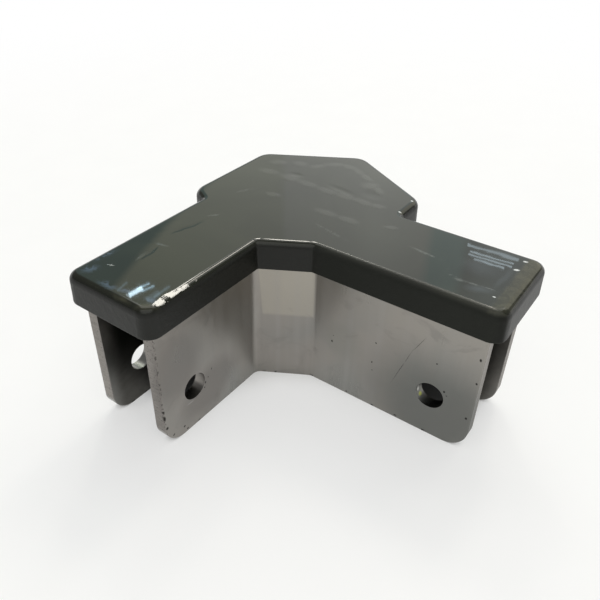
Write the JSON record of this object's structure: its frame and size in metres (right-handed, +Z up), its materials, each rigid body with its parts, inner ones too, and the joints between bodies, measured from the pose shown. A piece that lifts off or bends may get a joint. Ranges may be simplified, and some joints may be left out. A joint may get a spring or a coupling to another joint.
{
  "type": "three way corner connector",
  "caption": "Top corner connector for six-sided tube frames: a leg socket below, paired plates for a bolted truss bar on each of two arms at a right angle, and a moulded cap.",
  "frame": {"origin": "on the hub's axis, level with the lower edges of the hub and the plates, where the leg goes in", "axes": "+Z up along the hub's axis, towards the cap; +X along one arm; -Y along the other arm"},
  "size_m": [0.1087, 0.1126, 0.0517],
  "materials": {
    "aluminium": "mill finish, soft vertical streaks, small nicks",
    "cap_plastic": "glossy dark olive grey, lightly scuffed"
  },
  "bodies": {
    "root": {"corner_extrusion": "aluminium", "top_cap": "cap_plastic"}
  },
  "joints": []
}
